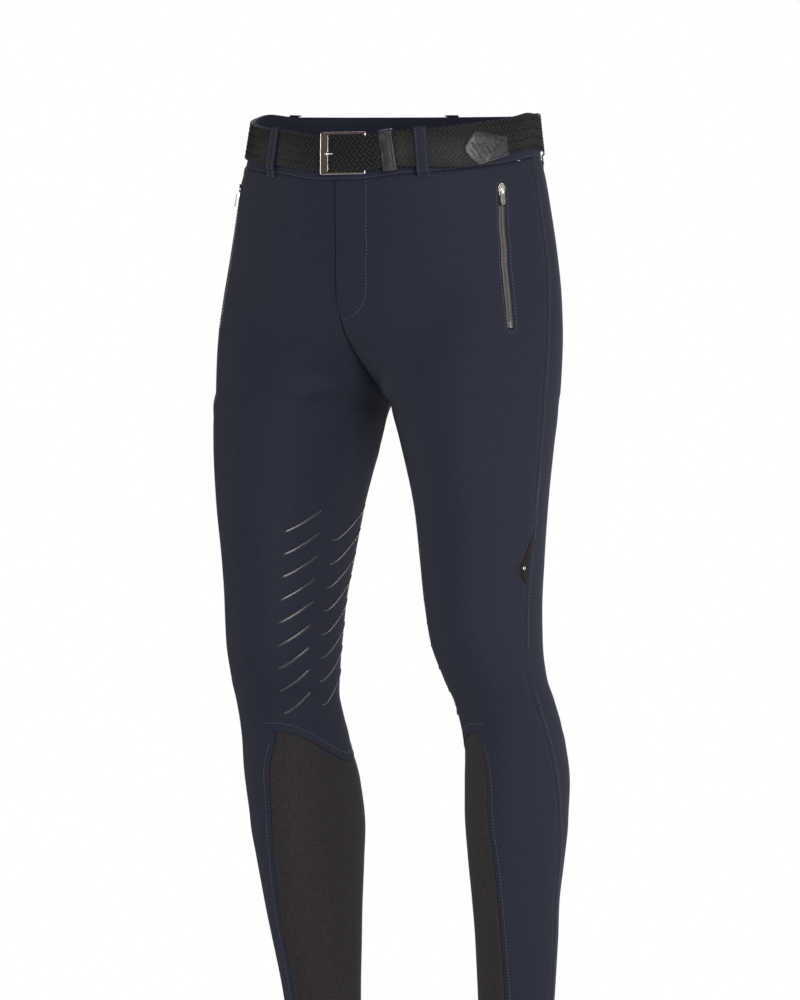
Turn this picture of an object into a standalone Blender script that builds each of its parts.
"""Men's knee-grip riding breeches, filled out as worn, with their own braided belt.

The file works in millimetres and MM turns them into metres as each mesh is made.  +Z is up, the
wearer faces -Y and the wearer's left side is +X.  The origin is the middle of the waist, half way
up the belt.

The left half is one surface, cloth_point(turn, level).  `turn` runs from 0 at the centre front,
over the outer side at about a half, to 1 at the centre back, and below the crotch the two ends
meet down the inner leg.  `level` is the height.  Every panel is a grid on that surface between
its seams, and the right half is its mirror image.
"""
import math
from collections import namedtuple
from functools import lru_cache

import bmesh
import bpy
from mathutils import Vector

MM = 0.001

# ---- driving sizes, in millimetres -------------------------------------------------------
PANEL_THICK = 1.2
BAND_THICK = 2.0
SEAM_GAP = 0.3
CLEAR = 0.3                      # between a trim and what it lies on

TORSO_NAMES = ("level", "half_width", "front", "back", "seat")
TORSO = (
    (42, 150, -112, 112, 0),
    (2, 150, -113, 113, 0),
    (-18, 153, -114, 114, 0),
    (-48, 162.5, -116, 112, 0),
    (-88, 170.5, -115.5, 112, 3),
    (-128, 178, -115, 110, 8),
    (-168, 184.5, -114.5, 106.5, 12),
    (-208, 189, -114, 101, 12),
    (-248, 192, -112, 94, 8),
    (-288, 189, -110, 86, 2),
)
LEG_NAMES = ("level", "gap", "middle", "half_width", "half_depth", "turned")
LEG = (
    (-78, 0, -6, 84, 104, 4),
    (-168, 0, -8, 90, 103, 6),
    (-218, 0, -10, 92, 100, 8),
    (-260, 0, -12, 91.5, 98.5, 11),
    (-266, 9, -12.8, 87.3, 97.6, 11.7),
    (-273, 16, -13.5, 83.8, 96.2, 12.5),
    (-288, 21, -14.5, 80.5, 92.5, 14),
    (-308, 26.5, -15.5, 76.5, 91.5, 15),
    (-368, 42, -18.5, 66.5, 83.5, 14),
    (-428, 52, -20, 60, 75.5, 8.5),
    (-468, 57.5, -21.5, 57, 69, 5.5),
    (-508, 62.5, -19.5, 54.5, 65, 6.5),
    (-548, 71, -8.5, 50.5, 59, 10),
    (-568, 75.5, 2, 49.5, 55.5, 10.5),
    (-608, 76.5, 20, 49.5, 59, 12),
    (-648, 72.5, 29.5, 51, 65.5, 11.5),
    (-688, 70, 34, 50, 66, 12),
    (-728, 71, 36.5, 47, 60.5, 14),
    (-768, 73, 39, 43, 55, 15.5),
    (-808, 74.5, 43.5, 40.5, 50, 12),
    (-868, 75, 48.5, 37.5, 41, 4.5),
    (-930, 73, 51.5, 34, 36, -0.5),
)
CROTCH = -260.0                  # lowest point of the rise
RISE_TOP = -168.0                # where the centre seams start to curve in under the body
HEM = -930.0
BACK_BEND = 1.9                  # how round the centre back seam curves in
INSEAM_TURN = math.radians(-12)  # the inner leg line lies this far behind the inner side
SEAT_AT, SEAT_SPREAD = 0.80, 0.11
LEG_STARTS, LEG_WHOLE = -108.0, -280.0
GROIN_NAMES = ("level", "depth", "lean", "reach", "arrive", "meets")
GROIN = (                        # the front beside the centre seam, used by groin_point
    (-108, -115.3, 0, 105, 1, 0.2),
    (-150, -114.8, 0, 105, 1, 0.25),
    (-168, -114.5, 0, 108, 1, 0.27),
    (-184, -111, 6, 104, 1, 0.27),
    (-200, -101.5, 22, 96, 1, 0.27),
    (-216, -86, 42, 92, 1, 0.26),
    (-228, -69, 62, 98, 1, 0.25),
    (-236, -54, 75, 100, 0.95, 0.235),
    (-248, -30, 84, 86, 0.86, 0.21),
    (-256, -10, 87, 72, 0.75, 0.2),
    (-260, 7.3, 90, 66, 0.7, 0.2),
    (-268, 7.3, 95, 62, 0.72, 0.2),
    (-276, 7.3, 98, 80, 0.9, 0.2),
    (-290, 7.3, 100, 105, 1, 0.2),
)
GROIN_STARTS, GROIN_WHOLE, GROIN_FADES, GROIN_ENDS = -108.0, -130.0, -262.0, -290.0

# The belt line: level at the back, down to the front, with a small dip at the buckle.
WAIST_NAMES = ("depth", "level")
WAIST_LINE = ((114, -2.0), (45, -2.0), (8, 0.5), (-16, -3.0), (-60, -9.9), (-114, -18.8))
FRONT_DIP, DIP_HALF = 4.4, 50.0
BAND_TOP, BAND_LOW = 18.0, -26.0

# ---- where the seams run: turn at each level ----------------------------------------------
SEAM_NAMES = ("level", "turn")
SIDE_SEAM = (
    (-40, 0.494), (-114, 0.485), (-168, 0.492), (-258, 0.514), (-308, 0.511), (-401, 0.511),
    (-449, 0.499), (-515, 0.484), (-568, 0.465), (-595, 0.468), (-636, 0.486), (-679, 0.514),
    (-732, 0.545), (-778, 0.552), (-930, 0.552),
)
CALF_SEAM = (
    (-240, 0.270), (-600, 0.258), (-638, 0.284), (-698, 0.296), (-758, 0.310), (-818, 0.315),
    (-868, 0.320), (-930, 0.322),
)
INNER_SEAM = (
    (-260, 0.0), (-285, -0.030), (-330, -0.075), (-390, -0.115), (-470, -0.150), (-560, -0.185),
    (-602, -0.200), (-930, -0.200),
)
SIDE_AT_CROTCH = -240.0          # the row through the crotch lies higher at the side
KNEE_SIDE, KNEE_INNER = -600.0, -630.0
RISE_ROWS, THIGH_ROWS, CALF_ROWS = 12, 17, 13
INNER_COLUMNS, SHIN_COLUMNS, BACK_COLUMNS = 12, 7, 8
EDGE_TURN = 0.0004               # half a seam gap, as a turn

# ---- belt ---------------------------------------------------------------------------------
STRAP_HALF = 18.0
STRAP_THICK = 3.0
STRAP_REST = 0.4                 # inner face of the strap off the waistband
LAP_REST = STRAP_REST + STRAP_THICK + 0.4
STRAP_DROOP = 7.0                # the tip end hangs this much lower than the ring
WAIST_HALF_WIDTH, WAIST_HALF_DEPTH = 153.0, 114.0
DROOP_STARTS, TIP_END_TURN = 0.075, 0.310
BUCKLE_LEFT, BUCKLE_RIGHT = -16.0, 32.5
BUCKLE_LEFT_OUT, BUCKLE_RIGHT_OUT = 6.0, 2.5  # its middle off the waistband at each end
BUCKLE_BAR, HINGE_BAR, BUCKLE_ARM = 8.5, 2.0, 2.6
BUCKLE_HALF = 21.3
BUCKLE_BACK, BUCKLE_EDGE, BUCKLE_FACE = -0.8, 0.6, 1.2
CHAPE_START, CHAPE_END, CHAPE_BULGE = 27.8, 50.0, 1.7
CHAPE_HALF = 17.0
PRONG_HOLE = (-6.2, -0.4)
PRONG = (                        # across, out and radius, from the chape to the tip
    (CHAPE_START - 0.3, 1.9, 0.6), (18.0, 1.3, 0.7), (6.0, 1.3, 0.7), (-1.3, 1.4, 0.7),
    (-3.4, 3.7, 0.75), (-5.0, 6.1, 0.8), (-6.6, 7.7, 1.0), (-8.2, 8.2, 1.3), (-9.5, 8.2, 0.6),
)
KEEPER_TURN, KEEPER_WIDTH, KEEPER_THICK = 0.116, 12.5, 1.3
KEEPER_ROOM, KEEPER_ABOVE, KEEPER_BELOW = 2.8, 0.5, 2.9
KEEPER_LIFT = 1.7
STRAP_NEAR, STRAP_FAR = 0.22, 1.9  # the strap has closer stations before and after these turns
STRAP_STATIONS = (12, 52, 34)
PRONG_HOLE_HALF = 1.9
PRONG_SIDES = 8
CHAPE_NOSE = 2.6                 # how far out the middle of the fold round the hinge bar lies
CHAPE_FLAT = 37.0                # the bulge over the hinge bar dies away from here on
TIP_NAMES = ("turn", "half")     # half height of the leather tip at each turn, last to first
TIP = ((0.399, 9.2), (0.345, 14.2), (0.310, 16.7), (0.295, 13.0), (0.2815, 3.0))
TIP_STATIONS = (0.2815, 0.285, 0.290, 0.295, 0.3025, 0.310, 0.312, 0.324, 0.336, 0.348,
                0.360, 0.372, 0.384, 0.394, 0.399)
TIP_THICK, TIP_END_SINKS = 1.6, 2.2
TIP_END_DROOP = 1.8               # the blunt end hangs this much lower still
LOOP_WIDTH, LOOP_THICK = 12.0, 1.2
LOOP_LEFT, LOOP_RIGHT, LOOP_SIDE = 0.1866, 0.178, 0.622
HALF_GIRTH = 424.0               # once round the waist is 2 turns

# ---- zip pocket ---------------------------------------------------------------------------
ZIP_LINE = (
    (-50, 0.3675), (-75, 0.359), (-108, 0.350), (-128, 0.3505), (-148, 0.361), (-168, 0.3775),
    (-200, 0.406),
)
ZIP_TOP, ZIP_BOTTOM, ZIP_STATIONS = -51.2, -197.0, 10
SLOT_HALF, TAPE_HALF, TAPE_THICK = 3.8, 3.5, 1.0
SLOT_DEEP, SLOT_HIGH = -4.0, 3.0
SLIDER_LEVEL = -52.0
SLIDER_LOW, SLIDER_HIGH = 0.35, 2.3
SLIDER_OUTLINE = ((0, -0.8), (4.8, -4.2), (6.4, -3.5), (13.2, -3.1),
                  (13.2, 3.1), (6.4, 3.5), (4.8, 4.2), (0, 0.8))  # down, across
BRIDGE_OUTER = ((6.1, 2.0), (6.1, 4.3), (6.8, 4.9), (10.6, 4.9), (11.3, 4.3), (11.3, 2.0))  # down, out
BRIDGE_INNER = ((7.0, 2.0), (7.0, 4.0), (7.3, 4.2), (10.1, 4.2), (10.4, 4.0), (10.4, 2.0))
BRIDGE_HALF, PULL_HALF = 0.45, 0.45
PULL_PIVOT_DOWN, PULL_PIVOT_OUT = 9.4, 3.3
PULL_OUTER = ((-0.45, -1.7), (-0.45, 0.0), (-0.45, 1.7), (2.5, 2.2), (5.0, 2.7), (9.0, 2.8),
              (12.6, 2.3), (14.0, 0.0), (12.6, -2.3), (9.0, -2.8), (5.0, -2.7), (2.5, -2.2))
PULL_INNER = ((0.45, -0.9), (0.45, 0.0), (0.45, 0.9), (2.2, 0.95), (3.6, 0.95), (3.9, 0.9),
              (4.2, 0.6), (4.3, 0.0), (4.2, -0.6), (3.9, -0.9), (3.6, -0.95), (2.2, -0.95))

# ---- grip bars and thigh trim -------------------------------------------------------------
Grips = namedtuple("Grips", "side outer_turn inner_turn first_level pitch rise count")
GRIPS = (                        # those of the left leg lie further round its inner side
    Grips("right", 0.212, 0.122, -400.0, 22.75, 22.0, 9),
    Grips("right", 0.074, -0.079, -409.0, 23.5, 38.0, 8),
    Grips("left", 0.116, 0.028, -400.0, 22.75, 22.0, 9),
    Grips("left", -0.002, -0.092, -409.0, 23.5, 26.0, 8),
)
GRIP_SPREAD = 0.0014             # a bar's outer end moves out this much from one bar to the next
GRIP_HALF, GRIP_PROUD, GRIP_SHOULDER, GRIP_SUNK, GRIP_STEPS = 1.5, 1.0, 0.5, 0.9, 6
GRIP_BEND = 1.25                 # over 1, a bar rises more steeply towards its inner end
INSERT = ((0.508, -402.0), (0.4715, -430.0), (0.474, -446.0), (0.494, -452.0))
INSERT_THICK = 1.0
STUD_TURN, STUD_LEVEL, STUD_RADIUS, STUD_SIDES = 0.4775, -436.0, 2.6, 16
STUD_PROFILE = ((1.4, 1.0), (2.2, 1.0), (3.0, 0.72), (3.3, 0.3))  # height, share of the radius

COLOURS = {
    "navy": ((0.021, 0.024, 0.042), 0.85, 0.0),
    "charcoal": ((0.030, 0.025, 0.024), 0.9, 0.0),
    "braid": ((0.012, 0.012, 0.014), 0.75, 0.0),
    "leather": ((0.018, 0.018, 0.020), 0.4, 0.0),
    "metal": ((0.78, 0.76, 0.73), 0.15, 1.0),
    "tape": ((0.06, 0.06, 0.06), 0.45, 0.0),
    "insert": ((0.016, 0.013, 0.012), 0.7, 0.0),
}


# ---- reading the tables -------------------------------------------------------------------
def smooth(share):
    """An even S-curve from 0 to 1."""
    share = min(1.0, max(0.0, share))
    return share * share * (3 - 2 * share)


def mix(first, second, share):
    return first + (second - first) * share


@lru_cache(maxsize=None)
def read(names, table, column, level):
    """A column of a table at any level, on a smooth curve that never overshoots its rows."""
    place = names.index(column)
    levels = [row[0] for row in table]
    values = [row[place] for row in table]
    if level >= levels[0]:
        return values[0]
    if level <= levels[-1]:
        return values[-1]
    low = max(n for n in range(len(levels) - 1) if levels[n] >= level)
    slopes = [(values[n + 1] - values[n]) / (levels[n + 1] - levels[n])
              for n in range(len(levels) - 1)]

    def tangent(n):
        if n == 0 or n == len(slopes):
            return slopes[min(n, len(slopes) - 1)]
        before, after = slopes[n - 1], slopes[n]
        return 0.0 if before * after <= 0 else 2 * before * after / (before + after)

    step = levels[low + 1] - levels[low]
    t = (level - levels[low]) / step
    blend = values[low] * (2 * t**3 - 3 * t**2 + 1) + values[low + 1] * (3 * t**2 - 2 * t**3)
    return blend + step * (tangent(low) * (t**3 - 2 * t**2 + t) + tangent(low + 1) * (t**3 - t**2))


def torso(column, level):
    return read(TORSO_NAMES, TORSO, column, level)


def leg(column, level):
    return read(LEG_NAMES, LEG, column, level)


def seam(table, level):
    return read(SEAM_NAMES, table, "turn", level)


# ---- the garment's surface ----------------------------------------------------------------
def torso_point(turn, level):
    """Half of the body's oval, with the seat's fullness behind."""
    front, back = torso("front", level), torso("back", level)
    middle, depth = (front + back) / 2, (back - front) / 2
    seat = torso("seat", level) * math.exp(-((turn - SEAT_AT) / SEAT_SPREAD) ** 2)
    x = torso("half_width", level) * math.sin(math.pi * turn)
    return Vector((x, middle - depth * math.cos(math.pi * turn) + seat, 0))


def leg_radius(angle, level):
    """The leg's oval, its long way turned a little towards the front outer side."""
    width, depth = leg("half_width", level), leg("half_depth", level)
    turned = angle - math.radians(leg("turned", level))
    return width * depth / math.hypot(depth * math.cos(turned), width * math.sin(turned))


def leg_point(turn, level):
    """One leg's oval, from its inner line round the front and back again."""
    angle = 2 * math.pi * turn + INSEAM_TURN
    centre = leg_radius(INSEAM_TURN, level) * math.cos(INSEAM_TURN)
    if level < CROTCH:
        centre += leg("gap", level)
    radius = leg_radius(angle, level)
    return Vector((centre - radius * math.cos(angle),
                   leg("middle", level) - radius * math.sin(angle), 0))


def leg_share(turn, level):
    """How far the section has gone from the body's oval to the leg's."""
    common = smooth((LEG_STARTS - level) / (LEG_STARTS - LEG_WHOLE))
    if turn < 0.5:
        return common
    at_seam = 1.0
    if level > CROTCH:
        fall = max(0.0, (RISE_TOP - level) / (RISE_TOP - CROTCH))
        at_seam = 1 - max(0.0, 1 - fall**BACK_BEND) ** (1 / BACK_BEND)
    return mix(common, at_seam, 1 - smooth((1 - turn) / 0.18))


def oval_point(turn, level):
    return torso_point(turn, level).lerp(leg_point(turn, level), leg_share(turn, level))


def groin_point(turn, level):
    """The front beside the centre seam, as a curve from the seam to the front of the thigh.

    It starts at the seam's own depth and sets off `lean` degrees forward of straight sideways.
    `reach` and `arrive` say how far it keeps to its direction at the seam and at the thigh, and
    `meets` is the turn where it meets the thigh.
    """
    depth, lean, reach, arrive, meets = (
        read(GROIN_NAMES, GROIN, name, level) for name in GROIN_NAMES[1:])
    start = Vector((SEAM_GAP / 2, depth, 0)) if level > CROTCH else leg_point(0.0, level)
    end, step = oval_point(meets, level), 0.004
    passing = oval_point(meets + step, level) - oval_point(meets - step, level)
    leave = Vector((math.cos(math.radians(lean)), -math.sin(math.radians(lean)), 0)) * reach
    meet = passing * (arrive * meets / (2 * step))
    part = turn / meets
    ends = start * (2 * part**3 - 3 * part**2 + 1) + end * (3 * part**2 - 2 * part**3)
    return ends + leave * (part**3 - 2 * part**2 + part) + meet * (part**3 - part**2)


@lru_cache(maxsize=None)
def cloth_xy(turn, level):
    if level < CROTCH:
        turn = turn % 1.0
    point = oval_point(turn, level)
    if turn < read(GROIN_NAMES, GROIN, "meets", level):
        share = smooth((GROIN_STARTS - level) / (GROIN_STARTS - GROIN_WHOLE))
        share *= 1 - smooth((GROIN_FADES - level) / (GROIN_FADES - GROIN_ENDS))
        point = point.lerp(groin_point(turn, level), share)
    return max(point.x, SEAM_GAP / 2), point.y


def cloth_point(turn, level):
    x, y = cloth_xy(turn, level)
    return Vector((x, y, level))


def cloth_out(turn, level):
    """The way out of the cloth, square to its face."""
    step, rise = 0.002, 1.0
    if min(abs(turn), abs(turn - 1)) < 0.001 and abs(level - CROTCH) < rise:
        return Vector((-1, 0, -1)).normalized()
    before, after = turn - step, turn + step
    if level > CROTCH:
        before, after = max(before, 0.0), min(after, 1.0)
    across = cloth_point(after, level) - cloth_point(before, level)
    down = cloth_point(turn, level - rise) - cloth_point(turn, level + rise)
    return down.cross(across).normalized()


def cloth(turn, level, out=0.0):
    point = cloth_point(turn, level) + cloth_out(turn, level) * out
    return Vector((max(point.x, SEAM_GAP / 2), point.y, point.z))


# ---- the waist: turn from -1 to 1 is once round, height and out measured from the belt line --
def waist_level(turn, height):
    x, y = cloth_xy(abs(turn), 0.0)
    dip = FRONT_DIP * math.exp(-((x / DIP_HALF) ** 4)) if abs(turn) < 0.5 else 0.0
    return height + read(WAIST_NAMES, WAIST_LINE, "level", y) - dip


def waist(turn, height, out):
    """A point round the waist: out is measured level, square to the oval.

    The waistband is straight up and down between its edges, and the belt lies flat on it.
    """
    turn = (turn + 1) % 2 - 1
    side, half = (-1 if turn < 0 else 1), abs(turn)
    low_level, top_level = waist_level(turn, BAND_LOW), waist_level(turn, BAND_TOP)
    if height < BAND_LOW:
        x, y = cloth_xy(half, waist_level(turn, height))
    else:
        share = (height - BAND_LOW) / (BAND_TOP - BAND_LOW)
        low, top = Vector(cloth_xy(half, low_level)), Vector(cloth_xy(half, top_level))
        x, y = low.lerp(top, share) if share <= 1 else top
    away = Vector((math.sin(math.pi * half) / WAIST_HALF_WIDTH,
                   -math.cos(math.pi * half) / WAIST_HALF_DEPTH)).normalized()
    return Vector((side * (x + away.x * out), y + away.y * out, waist_level(turn, height)))


def front_turn(across):
    """The turn of a place this many millimetres to the wearer's left of the centre front."""
    return math.asin(across / WAIST_HALF_WIDTH) / math.pi


# ---- making meshes ------------------------------------------------------------------------
def material(name):
    made = bpy.data.materials.get(name)
    if made:
        return made
    colour, rough, metallic = COLOURS[name]
    made = bpy.data.materials.new(name)
    made.use_nodes = True
    shader = made.node_tree.nodes["Principled BSDF"]
    shader.inputs["Base Color"].default_value = (*colour, 1)
    shader.inputs["Roughness"].default_value = rough
    shader.inputs["Metallic"].default_value = metallic
    made.diffuse_color = (*colour, 1)
    return made


def add_object(name, points, faces, finish):
    """A closed mesh from points in millimetres, with its faces turned outwards."""
    mesh = bpy.data.meshes.new(name)
    mesh.from_pydata([tuple(point * MM) for point in points], [], faces)
    work = bmesh.new()
    work.from_mesh(mesh)
    bmesh.ops.recalc_face_normals(work, faces=work.faces)
    work.to_mesh(mesh)
    work.free()
    mesh.materials.append(material(finish))
    made = bpy.data.objects.new(name, mesh)
    bpy.context.scene.collection.objects.link(made)
    return made


def mirrored(points):
    return [Vector((-point.x, point.y, point.z)) for point in points]


def add_both(name, points, faces, finish):
    """The piece on the wearer's left, and its mirror image on the right."""
    return (add_object(name + "_left", points, faces, finish),
            add_object(name + "_right", mirrored(points), faces, finish))


def smooth_shade(made, angle=math.radians(35)):
    made.data.shade_smooth()
    made.data.set_sharp_from_angle(angle=angle)


def shell(rows, columns, place, kept=lambda row, column: True):
    """A wall over a grid of cells: place(row, column) gives its outer and inner point."""
    cells = [(row, column) for row in range(rows) for column in range(columns) if kept(row, column)]
    index, points, faces, edges = {}, [], [], {}

    def number(row, column):
        if (row, column) not in index:
            index[row, column] = len(points)
            points.extend(place(row, column))
        return index[row, column]

    for row, column in cells:
        ring = [number(row, column), number(row + 1, column),
                number(row + 1, column + 1), number(row, column + 1)]
        faces.append(ring)
        faces.append([corner + 1 for corner in reversed(ring)])
        for first, second in zip(ring, ring[1:] + ring[:1]):
            if (second, first) in edges:
                del edges[second, first]
            else:
                edges[first, second] = True
    faces.extend([second, first, first + 1, second + 1] for first, second in edges)
    return points, faces


def sweep(sections):
    """A closed solid through sections that all have the same number of points."""
    size = len(sections[0])
    points = [point for section in sections for point in section]
    faces = [list(range(size - 1, -1, -1)), list(range(len(points) - size, len(points)))]
    for start in range(0, len(points) - size, size):
        for n in range(size):
            after = (n + 1) % size
            faces.append([start + n, start + after, start + size + after, start + size + n])
    return points, faces


def loop_sweep(sections):
    """The same, closed on itself into a ring."""
    size, count = len(sections[0]), len(sections)
    points = [point for section in sections for point in section]
    faces = []
    for ring in range(count):
        start, ahead = ring * size, (ring + 1) % count * size
        for n in range(size):
            after = (n + 1) % size
            faces.append([start + n, start + after, ahead + after, ahead + n])
    return points, faces


def thick_line(path, thick):
    """Both sides of a line of (height, out) points, `thick` apart, the second side outwards."""
    near, far = [], []
    for n, here in enumerate(path):
        before, after = path[max(n - 1, 0)], path[min(n + 1, len(path) - 1)]
        along = (Vector(after) - Vector(before)).normalized()
        square = Vector((-along.y, along.x))
        near.append(tuple(here))
        far.append(tuple(Vector(here) + square * thick))
    return near, far


def cut(made, cutter, operation):
    """Keep a cutter or a joined shape as a live Boolean on its object."""
    cutter.hide_render = True
    cutter.display_type = "WIRE"
    change = made.modifiers.new("boolean", "BOOLEAN")
    change.operation = operation
    change.object = cutter
    change.solver = "EXACT"


# ---- panels -------------------------------------------------------------------------------
def spaced_levels(turn, top, rows):
    """Levels down a centre seam, at even distances along its curve into the crotch."""
    samples = 400
    levels = [mix(top, CROTCH, n / samples) for n in range(samples + 1)]
    lengths = [0.0]
    for upper, lower in zip(levels, levels[1:]):
        step = cloth_point(turn, lower) - cloth_point(turn, upper)
        lengths.append(lengths[-1] + step.length)
    picked = []
    for row in range(rows + 1):
        wanted = lengths[-1] * row / rows
        near = min(range(samples + 1), key=lambda n: abs(lengths[n] - wanted))
        picked.append(levels[near])
    return picked


PANEL_TOP = BAND_LOW - SEAM_GAP
RISE_LEVELS = {turn: spaced_levels(turn, waist_level(turn, PANEL_TOP), RISE_ROWS) for turn in (0, 1)}
KNEE_ROW = RISE_ROWS + THIGH_ROWS
LAST_ROW = KNEE_ROW + CALF_ROWS


def row_ends(row, turn):
    """The level of a row at the side and at its inner end."""
    if row <= RISE_ROWS:
        side = mix(waist_level(0.5, PANEL_TOP), SIDE_AT_CROTCH, row / RISE_ROWS)
        return side, RISE_LEVELS[0 if turn < 0.5 else 1][row]
    if row <= KNEE_ROW:
        share = (row - RISE_ROWS) / THIGH_ROWS
        return mix(SIDE_AT_CROTCH, KNEE_SIDE, share), mix(CROTCH, KNEE_INNER, share)
    share = (row - KNEE_ROW) / CALF_ROWS
    return mix(KNEE_SIDE, HEM, share), mix(KNEE_INNER, HEM, share)


def row_level(row, turn):
    """The level of a row of the grid: sloped like the waist at the top, dipped at the inner leg."""
    side, inner = row_ends(row, turn)
    level = mix(inner, side, smooth(abs(turn - round(turn)) / 0.25))
    if row < RISE_ROWS:
        share = row / RISE_ROWS
        sloped = waist_level(turn, mix(PANEL_TOP, SIDE_AT_CROTCH, share))
        level = mix(sloped, level, smooth(share / 0.7))
    return level


def inner_turn(row):
    """Where the front panel starts: the centre front, then the seam behind the inner leg."""
    return 0.0 if row <= RISE_ROWS else seam(INNER_SEAM, row_ends(row, 0)[1])


def side_turn(row):
    return seam(SIDE_SEAM, row_ends(row, 0)[0])


def calf_turn(row):
    return seam(CALF_SEAM, row_ends(row, 0)[0])


def wall_points(turn, level):
    return cloth(turn, level), cloth(turn, level, -PANEL_THICK)


def front_place(row, column):
    """The front: from the inner seam to the shin seam, and on to the side seam."""
    shin = calf_turn(row) + EDGE_TURN
    if column <= INNER_COLUMNS:
        turn = mix(inner_turn(row) + EDGE_TURN, shin, column / INNER_COLUMNS)
    else:
        turn = mix(shin, side_turn(row) - EDGE_TURN, (column - INNER_COLUMNS) / SHIN_COLUMNS)
    level = row_level(row, turn)
    if row == KNEE_ROW and column < INNER_COLUMNS:
        level += SEAM_GAP / 2
    return wall_points(turn, level)


def back_place(row, column):
    turn = mix(side_turn(row) + EDGE_TURN, 1 + inner_turn(row) - EDGE_TURN, column / BACK_COLUMNS)
    return wall_points(turn, row_level(row, turn))


def calf_place(row, column):
    row += KNEE_ROW
    start, end = inner_turn(row) + EDGE_TURN, calf_turn(row) - EDGE_TURN
    turn = mix(start, end, column / INNER_COLUMNS)
    level = row_level(row, turn)
    if row == KNEE_ROW:
        level -= SEAM_GAP / 2
    return wall_points(turn, level)


def on_front(row, column):
    """Below the knee only the shin strip is left of the front."""
    return row < KNEE_ROW or column >= INNER_COLUMNS


def make_panels():
    """Fronts, backs and calf panels, right and left."""
    front = shell(LAST_ROW, INNER_COLUMNS + SHIN_COLUMNS, front_place, on_front)
    fronts = add_both("front_panel", *front, "navy")
    backs = add_both("back_panel", *shell(LAST_ROW, BACK_COLUMNS, back_place), "navy")
    calves = add_both("calf_panel", *shell(CALF_ROWS, INNER_COLUMNS, calf_place), "charcoal")
    for made in fronts + backs + calves:
        smooth_shade(made)
    return fronts


def grip_middle(column, bar, share):
    """The middle line of a bar, from its low outer end to its high inner end."""
    outer = column.outer_turn + bar * GRIP_SPREAD
    turn = mix(outer, column.inner_turn, share)
    return turn, column.first_level - bar * column.pitch + column.rise * share**GRIP_BEND


def grip_bars(side):
    """Raised silicone bars up one inner knee, as one set of solids."""
    points, faces = [], []
    for column in GRIPS:
        for bar in range(column.count if column.side == side else 0):
            sections = []
            for step in range(GRIP_STEPS + 1):
                turn, level = grip_middle(column, bar, step / GRIP_STEPS)
                middle, out = cloth_point(turn, level), cloth_out(turn, level)
                ahead = cloth_point(*grip_middle(column, bar, step / GRIP_STEPS + 0.05))
                edge = (ahead - middle).normalized().cross(out) * GRIP_HALF
                sections.append([middle + edge * across + out * height for across, height in
                                 ((1, -GRIP_SUNK), (1, GRIP_SHOULDER), (0.4, GRIP_PROUD),
                                  (-0.4, GRIP_PROUD), (-1, GRIP_SHOULDER), (-1, -GRIP_SUNK))])
            made_points, made_faces = sweep(sections)
            faces.extend([corner + len(points) for corner in face] for face in made_faces)
            points.extend(made_points)
    return points if side == "left" else mirrored(points), faces


# ---- zip pockets --------------------------------------------------------------------------
def zip_place(level, across, out):
    """A point beside the zip's middle line: across is towards the back."""
    turn = seam(ZIP_LINE, level)
    along = cloth_point(turn + 0.005, level) - cloth_point(turn - 0.005, level)
    return cloth(turn, level, out) + along.normalized() * across


def zip_strip(half, low, high, top, bottom):
    sections = []
    for step in range(ZIP_STATIONS + 1):
        level = mix(top, bottom, step / ZIP_STATIONS)
        sections.append([zip_place(level, -half, low), zip_place(level, half, low),
                         zip_place(level, half, high), zip_place(level, -half, high)])
    return sweep(sections)


class Axes:
    """A place with its own three directions."""

    def __init__(self, origin, first, second, out):
        self.origin, self.first, self.second, self.out = origin, first, second, out

    def at(self, first, second, out):
        return self.origin + self.first * first + self.second * second + self.out * out


def slider_axes():
    """Down the zip, across to the back, and out of the cloth, from the slider's top."""
    start, end = zip_place(SLIDER_LEVEL, 0, 0), zip_place(SLIDER_LEVEL - 12, 0, 0)
    down = (end - start).normalized()
    across = zip_place(SLIDER_LEVEL - 6, 3, 0) - zip_place(SLIDER_LEVEL - 6, -3, 0)
    out = across.cross(down).normalized()
    if out.x < 0:
        out.negate()
    return Axes(start, down, down.cross(out), out)


def slider_body(axes):
    return sweep([[axes.at(down, across, out) for down, across in SLIDER_OUTLINE]
                  for out in (SLIDER_LOW, SLIDER_HIGH)])


def slider_bridge(axes):
    """The small arch that holds the pull tab."""
    outline = BRIDGE_OUTER + tuple(reversed(BRIDGE_INNER))
    return sweep([[axes.at(down, across, out) for down, out in outline]
                  for across in (-BRIDGE_HALF, BRIDGE_HALF)])


def pull_tab(axes):
    """The tab: a window round the arch at its top, and a plain tongue below."""
    low, high = PULL_PIVOT_OUT - PULL_HALF, PULL_PIVOT_OUT + PULL_HALF
    sections = []
    for (outer_down, outer_side), (inner_down, inner_side) in zip(PULL_OUTER, PULL_INNER):
        outer_down, inner_down = outer_down + PULL_PIVOT_DOWN, inner_down + PULL_PIVOT_DOWN
        sections.append([axes.at(outer_down, outer_side, low), axes.at(outer_down, outer_side, high),
                         axes.at(inner_down, inner_side, high), axes.at(inner_down, inner_side, low)])
    return loop_sweep(sections)


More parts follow.
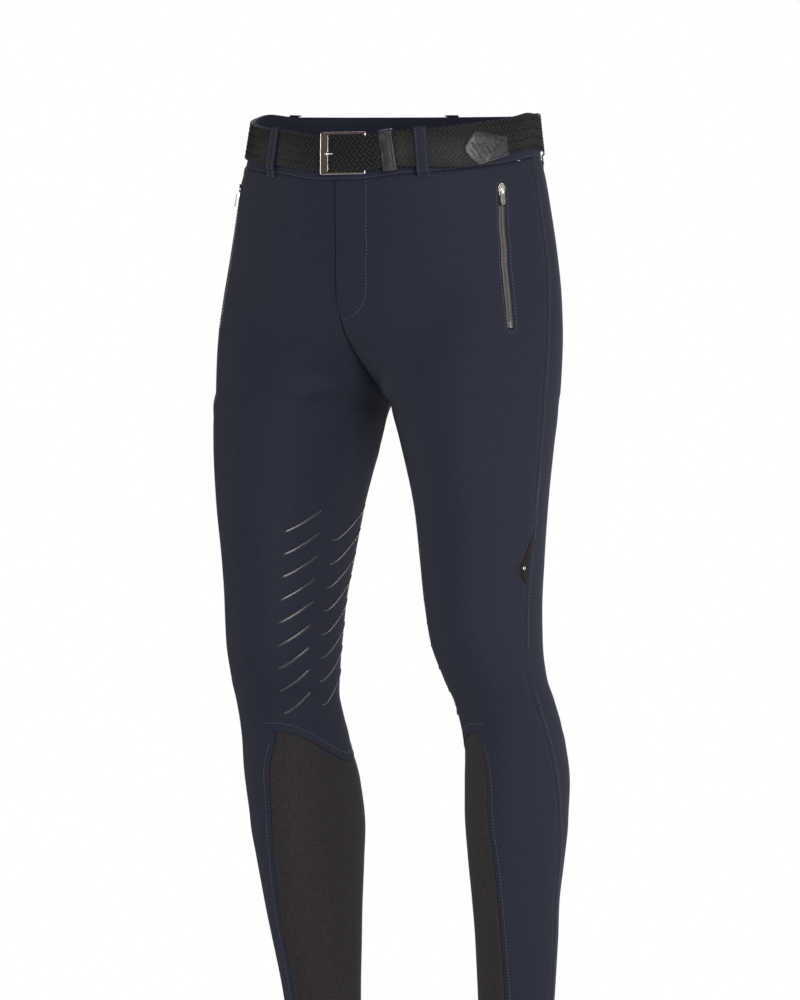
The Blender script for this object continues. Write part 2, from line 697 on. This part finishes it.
def make_pockets(fronts):
    """Slots in both fronts, each with its tape, slider and pull tab."""
    slot = zip_strip(SLOT_HALF, SLOT_DEEP, SLOT_HIGH, ZIP_TOP, ZIP_BOTTOM)
    for made, cutter in zip(fronts, add_both("pocket_slot", *slot, "navy")):
        cut(made, cutter, "DIFFERENCE")
    tape = zip_strip(TAPE_HALF, -TAPE_THICK, 0.0, ZIP_TOP - CLEAR, ZIP_BOTTOM + CLEAR)
    add_both("pocket_tape", *tape, "tape")
    axes = slider_axes()
    sliders = add_both("pocket_slider", *slider_body(axes), "metal")
    bridges = add_both("pocket_bridge", *slider_bridge(axes), "metal")
    for made, bridge in zip(sliders, bridges):
        cut(made, bridge, "UNION")
    pivot = axes.at(PULL_PIVOT_DOWN, 0, PULL_PIVOT_OUT)
    points, faces = pull_tab(axes)
    left, right = add_both("pocket_pull", [point - pivot for point in points], faces, "metal")
    left.location = pivot * MM
    right.location = mirrored([pivot])[0] * MM


# ---- trim on the thighs -------------------------------------------------------------------
def circle(middle, first, second, radius, sides):
    """Points round a circle spanned by two unit directions."""
    angles = [math.tau * n / sides for n in range(sides)]
    return [middle + (first * math.cos(angle) + second * math.sin(angle)) * radius for angle in angles]


def make_thigh_trim():
    """The dark triangle at each side seam, and the stud on the left one."""
    low = [cloth(turn, level, CLEAR) for turn, level in INSERT]
    high = [cloth(turn, level, CLEAR + INSERT_THICK) for turn, level in INSERT]
    add_both("thigh_insert", *sweep([low, high]), "insert")
    middle, out = cloth(STUD_TURN, STUD_LEVEL), cloth_out(STUD_TURN, STUD_LEVEL)
    side = out.cross(Vector((0, 0, 1))).normalized()
    up = side.cross(out)
    sections = [circle(middle + out * (CLEAR + height), side, up, STUD_RADIUS * share, STUD_SIDES)
                for height, share in STUD_PROFILE]
    smooth_shade(add_object("thigh_stud", *sweep(sections), "metal"))


# ---- waistband and belt -------------------------------------------------------------------
def make_waistband():
    """One strip round the waist, open by a seam's gap at the centre front."""
    turns = [mix(EDGE_TURN, 2 - EDGE_TURN, n / 72) for n in range(73)]
    sections = [[waist(turn, height, out) for height, out in
                 ((BAND_LOW, -BAND_THICK), (BAND_LOW, 0), (BAND_TOP, 0), (BAND_TOP, -BAND_THICK))]
                for turn in turns]
    smooth_shade(add_object("waistband", *sweep(sections), "navy"))


def keeper_lift(turn):
    """The strap stands off the waistband where the keeper passes behind it."""
    return KEEPER_LIFT * math.exp(-(((turn - KEEPER_TURN) / 0.03) ** 4))


def lap_rest(turn):
    """How far off the waistband the second, outer lap lies, from under the buckle on."""
    start, hole, over = front_turn(-10), front_turn(1), front_turn(26)
    rise = mix(STRAP_REST, 2.6, smooth((turn - start) / (hole - start)))
    rise = mix(rise, LAP_REST + CHAPE_BULGE, smooth((turn - hole) / (over - hole)))
    settle = smooth((turn - front_turn(38)) / 0.035)
    return rise - settle * CHAPE_BULGE + (keeper_lift(turn) if turn > 0 else 0.0)


def strap_station(unwound):
    """The strap's inner face and middle height, a turn of 2 further on for the second lap."""
    if unwound < 1:
        return STRAP_REST + keeper_lift(unwound), 0.0
    turn = unwound - 2
    past_buckle = (turn - DROOP_STARTS) / (TIP_END_TURN - DROOP_STARTS)
    return lap_rest(turn), -STRAP_DROOP * smooth(past_buckle)


def spread(start, end, count):
    return [mix(start, end, n / count) for n in range(count)]


def make_belt_strap():
    """Braided elastic: once round, then under the buckle's bar and over its own start."""
    near, ring, lap = STRAP_STATIONS
    first, last = front_turn(CHAPE_END) + 0.001, 2 + TIP_END_TURN
    unwound = spread(first, STRAP_NEAR, near) + spread(STRAP_NEAR, STRAP_FAR, ring)
    sections = []
    for turn in unwound + spread(STRAP_FAR, last, lap) + [last]:
        rest, middle = strap_station(turn)
        sections.append([waist(turn, middle + height, rest + out) for height, out in
                         ((-STRAP_HALF, 0), (-STRAP_HALF, STRAP_THICK),
                          (STRAP_HALF, STRAP_THICK), (STRAP_HALF, 0))])
    strap = add_object("belt_strap", *sweep(sections), "braid")
    smooth_shade(strap)
    hole = [[waist(front_turn(across), height, out) for height, out in
             ((-PRONG_HOLE_HALF, -0.1), (-PRONG_HOLE_HALF, 8), (PRONG_HOLE_HALF, 8),
              (PRONG_HOLE_HALF, -0.1))] for across in PRONG_HOLE]
    cut(strap, add_object("prong_hole", *sweep(hole), "braid"), "DIFFERENCE")


def buckle_axes():
    """Along the flat buckle to the wearer's left, up its height, and out of it."""
    left = waist(front_turn(BUCKLE_LEFT), 0, BUCKLE_LEFT_OUT)
    right = waist(front_turn(BUCKLE_RIGHT), 0, BUCKLE_RIGHT_OUT)
    along = (right - left).normalized()
    middle = front_turn((BUCKLE_LEFT + BUCKLE_RIGHT) / 2)
    rise = waist(middle, STRAP_HALF, STRAP_REST) - waist(middle, -STRAP_HALF, STRAP_REST)
    out = along.cross(rise.normalized()).normalized()
    return Axes(left - along * BUCKLE_LEFT, along, out.cross(along), out)


def rounded_rectangle(left, right, half, radius, steps=3):
    """Points round a rectangle with arcs at its corners."""
    corners = ((right - radius, half - radius, 0), (left + radius, half - radius, 90),
               (left + radius, radius - half, 180), (right - radius, radius - half, 270))
    points = []
    for x, y, start in corners:
        for n in range(steps + 1):
            angle = math.radians(start + 90 * n / steps)
            points.append((x + radius * math.cos(angle), y + radius * math.sin(angle)))
    return points


def make_buckle(axes):
    """The flat frame: a broad front bar, two arms and a thin hinge bar."""
    outer = rounded_rectangle(BUCKLE_LEFT, BUCKLE_RIGHT, BUCKLE_HALF, 1.6)
    inner = rounded_rectangle(BUCKLE_LEFT + BUCKLE_BAR, BUCKLE_RIGHT - HINGE_BAR,
                              BUCKLE_HALF - BUCKLE_ARM, 1.2)
    profile = ((0, BUCKLE_BACK), (0, BUCKLE_EDGE), (0.3, BUCKLE_FACE), (0.8, BUCKLE_FACE),
               (1, BUCKLE_EDGE), (1, BUCKLE_BACK))
    sections = [[axes.at(*Vector(outside).lerp(Vector(inside), share), out) for share, out in profile]
                for outside, inside in zip(outer, inner)]
    smooth_shade(add_object("buckle_frame", *loop_sweep(sections), "metal"))


def make_prong():
    """The pin: under the strap from the chape, up through its hole and down on the front bar."""
    back, up = Vector((0, -1, 0)), Vector((0, 0, 1))
    sections = [circle(waist(front_turn(across), 0, out), up, back, radius, PRONG_SIDES)
                for across, out, radius in PRONG]
    smooth_shade(add_object("buckle_prong", *sweep(sections), "metal"))


def make_chape(axes):
    """Leather folded round the hinge bar and sewn to the strap's end."""
    outer, inner = [], []
    for across in spread(CHAPE_START + 3, CHAPE_END, 7):
        rest = STRAP_REST + keeper_lift(front_turn(across))
        bulge = (CHAPE_BULGE - 0.2) * (1 - smooth((across - CHAPE_FLAT) / 8))
        outer.append((across, rest + STRAP_THICK + bulge))
        inner.append((across, rest - 0.1))
    nose = [(CHAPE_START + 0.8, CHAPE_NOSE - 1.8), (CHAPE_START, CHAPE_NOSE),
            (CHAPE_START + 0.8, CHAPE_NOSE + 1.8)]
    outline = nose + outer + list(reversed(inner))
    sections = [[waist(front_turn(across), height, out) for across, out in outline]
                for height in (-CHAPE_HALF, CHAPE_HALF)]
    chape = add_object("belt_chape", *sweep(sections), "leather")
    near, far = BUCKLE_RIGHT - HINGE_BAR - CLEAR, BUCKLE_RIGHT + CLEAR
    low, high = BUCKLE_BACK - CLEAR, BUCKLE_FACE + CLEAR
    bar_room = [[axes.at(along, up, out) for along, out in
                 ((near, low), (far, low), (far, high), (near, high))]
                for up in (-BUCKLE_HALF - 2, BUCKLE_HALF + 2)]
    cut(chape, add_object("bar_room", *sweep(bar_room), "leather"), "DIFFERENCE")


def make_keeper():
    """A closed leather band round both laps of the strap."""
    half_turn = KEEPER_WIDTH / 2 / WAIST_HALF_WIDTH / math.pi * 1.05
    face = LAP_REST + STRAP_THICK + KEEPER_ROOM
    top, low = STRAP_HALF + KEEPER_ABOVE, -STRAP_HALF - KEEPER_BELOW
    rest = STRAP_REST + KEEPER_LIFT - CLEAR
    inner = ((low, rest), (low, face), (top, face), (top, rest))
    outer = ((low - KEEPER_THICK, STRAP_REST), (low - KEEPER_THICK, face + KEEPER_THICK),
             (top + KEEPER_THICK, face + KEEPER_THICK), (top + KEEPER_THICK, STRAP_REST))
    start, end = KEEPER_TURN - half_turn, KEEPER_TURN + half_turn
    sections = [[waist(start, *inside), waist(start, *outside), waist(end, *outside), waist(end, *inside)]
                for inside, outside in zip(inner, outer)]
    add_object("belt_keeper", *loop_sweep(sections), "leather")


def make_tip_tab():
    """The leather tip: a broad point over the strap's end, narrowing to a blunt end."""
    ring_face, lap_face = STRAP_REST + STRAP_THICK, LAP_REST + STRAP_THICK
    sections = []
    for turn in TIP_STATIONS:
        half = read(TIP_NAMES, TIP, "half", turn)
        past_end = smooth((turn - TIP_END_TURN) / 0.09)
        low = (lap_face if turn <= TIP_END_TURN else ring_face) + CLEAR
        high = lap_face + CLEAR + TIP_THICK - TIP_END_SINKS * past_end
        middle = -STRAP_DROOP - TIP_END_DROOP * past_end
        sections.append([waist(turn, middle + height, out) for height, out in
                         ((-half, low), (-half, high), (half, high), (half, low))])
    add_object("belt_tip_tab", *sweep(sections), "leather")


def loop_path(strap_face, strap_low):
    """A belt loop from the waistband's top edge, over the strap and back to the cloth, as
    (height, out) points of its inner face."""
    out = strap_face + 0.35
    foot = min(BAND_LOW - 1, strap_low - 6)
    return ((BAND_TOP + 0.6, -1.8), (BAND_TOP + 0.9, out - 0.2), (BAND_TOP - 0.4, out + 0.2),
            (0, out + 0.2), (strap_low - 1, out + 0.2), (strap_low - 4, out - 1.5),
            (foot, 0.6), (foot - 4, 0.5))


def make_belt_loop(name, turn, strap_face, strap_low=-STRAP_HALF):
    near, far = thick_line(loop_path(strap_face, strap_low), -LOOP_THICK)
    outline = near + list(reversed(far))
    half_turn = LOOP_WIDTH / 2 / HALF_GIRTH
    sections = [[waist(turn + side * half_turn, height, out) for height, out in outline]
                for side in (-1, 1)]
    add_object(name, *sweep(sections), "navy")


def make_belt_loops():
    single, double = STRAP_REST + STRAP_THICK, LAP_REST + STRAP_THICK
    lap_low = strap_station(2 + LOOP_LEFT)[1] - STRAP_HALF - 0.5
    make_belt_loop("belt_loop_front_left", LOOP_LEFT, double, lap_low)
    make_belt_loop("belt_loop_front_right", -LOOP_RIGHT, single)
    make_belt_loop("belt_loop_side_left", LOOP_SIDE, single)
    make_belt_loop("belt_loop_side_right", -LOOP_SIDE, single)
    make_belt_loop("belt_loop_back", 1.0, single)


def main():
    for old in list(bpy.data.objects):
        bpy.data.objects.remove(old, do_unlink=True)
    fronts = make_panels()
    make_pockets(fronts)
    for made, side in zip(fronts, ("left", "right")):
        cut(made, add_object("grip_bars_" + side, *grip_bars(side), "navy"), "UNION")
    make_thigh_trim()
    make_waistband()
    make_belt_strap()
    buckle = buckle_axes()
    make_buckle(buckle)
    make_prong()
    make_chape(buckle)
    make_keeper()
    make_tip_tab()
    make_belt_loops()


main()
